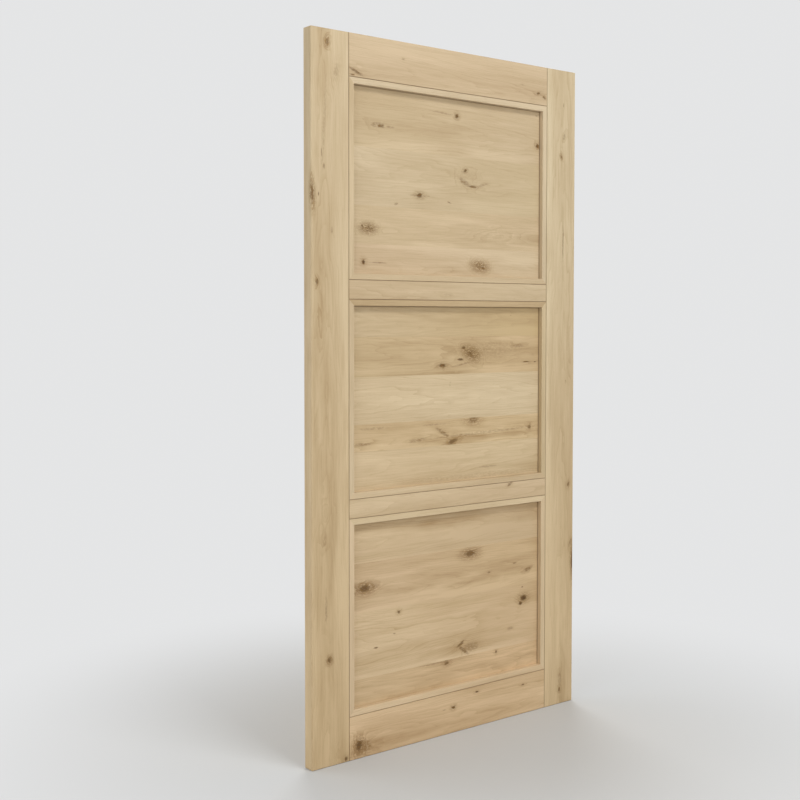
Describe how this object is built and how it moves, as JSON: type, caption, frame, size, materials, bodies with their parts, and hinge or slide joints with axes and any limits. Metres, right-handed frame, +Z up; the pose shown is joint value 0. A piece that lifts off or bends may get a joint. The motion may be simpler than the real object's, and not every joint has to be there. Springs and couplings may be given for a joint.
{
  "type": "barn door leaf",
  "caption": "Natural oak barn door leaf: full-height stiles, narrow mid rails and flat panels of glued boards in mitred beads, no hardware.",
  "frame": {"origin": "middle of the leaf's bottom edge, at half its thickness", "axes": "+X across the leaf to the right as the front is seen, +Y through its thickness to the back, +Z up; the front faces -Y"},
  "size_m": [1.067, 0.038, 2.134],
  "materials": {
    "frame_oak": "raw oak with a clear matt finish",
    "panel_oak": "raw oak with a clear matt finish",
    "bead_oak": "raw oak with a clear matt finish"
  },
  "bodies": {
    "root": {"left_stile": "frame_oak", "right_stile": "frame_oak", "bottom_rail": "frame_oak", "lower_mid_rail": "frame_oak", "upper_mid_rail": "frame_oak", "top_rail": "frame_oak", "lower_panel": "panel_oak", "front_lower_panel_bottom_bead": "bead_oak", "front_lower_panel_top_bead": "bead_oak", "front_lower_panel_left_bead": "bead_oak", "front_lower_panel_right_bead": "bead_oak", "back_lower_panel_bottom_bead": "bead_oak", "back_lower_panel_top_bead": "bead_oak", "back_lower_panel_left_bead": "bead_oak", "back_lower_panel_right_bead": "bead_oak", "middle_panel": "panel_oak", "front_middle_panel_bottom_bead": "bead_oak", "front_middle_panel_top_bead": "bead_oak", "front_middle_panel_left_bead": "bead_oak", "front_middle_panel_right_bead": "bead_oak", "back_middle_panel_bottom_bead": "bead_oak", "back_middle_panel_top_bead": "bead_oak", "back_middle_panel_left_bead": "bead_oak", "back_middle_panel_right_bead": "bead_oak", "upper_panel": "panel_oak", "front_upper_panel_bottom_bead": "bead_oak", "front_upper_panel_top_bead": "bead_oak", "front_upper_panel_left_bead": "bead_oak", "front_upper_panel_right_bead": "bead_oak", "back_upper_panel_bottom_bead": "bead_oak", "back_upper_panel_top_bead": "bead_oak", "back_upper_panel_left_bead": "bead_oak", "back_upper_panel_right_bead": "bead_oak"}
  },
  "joints": []
}
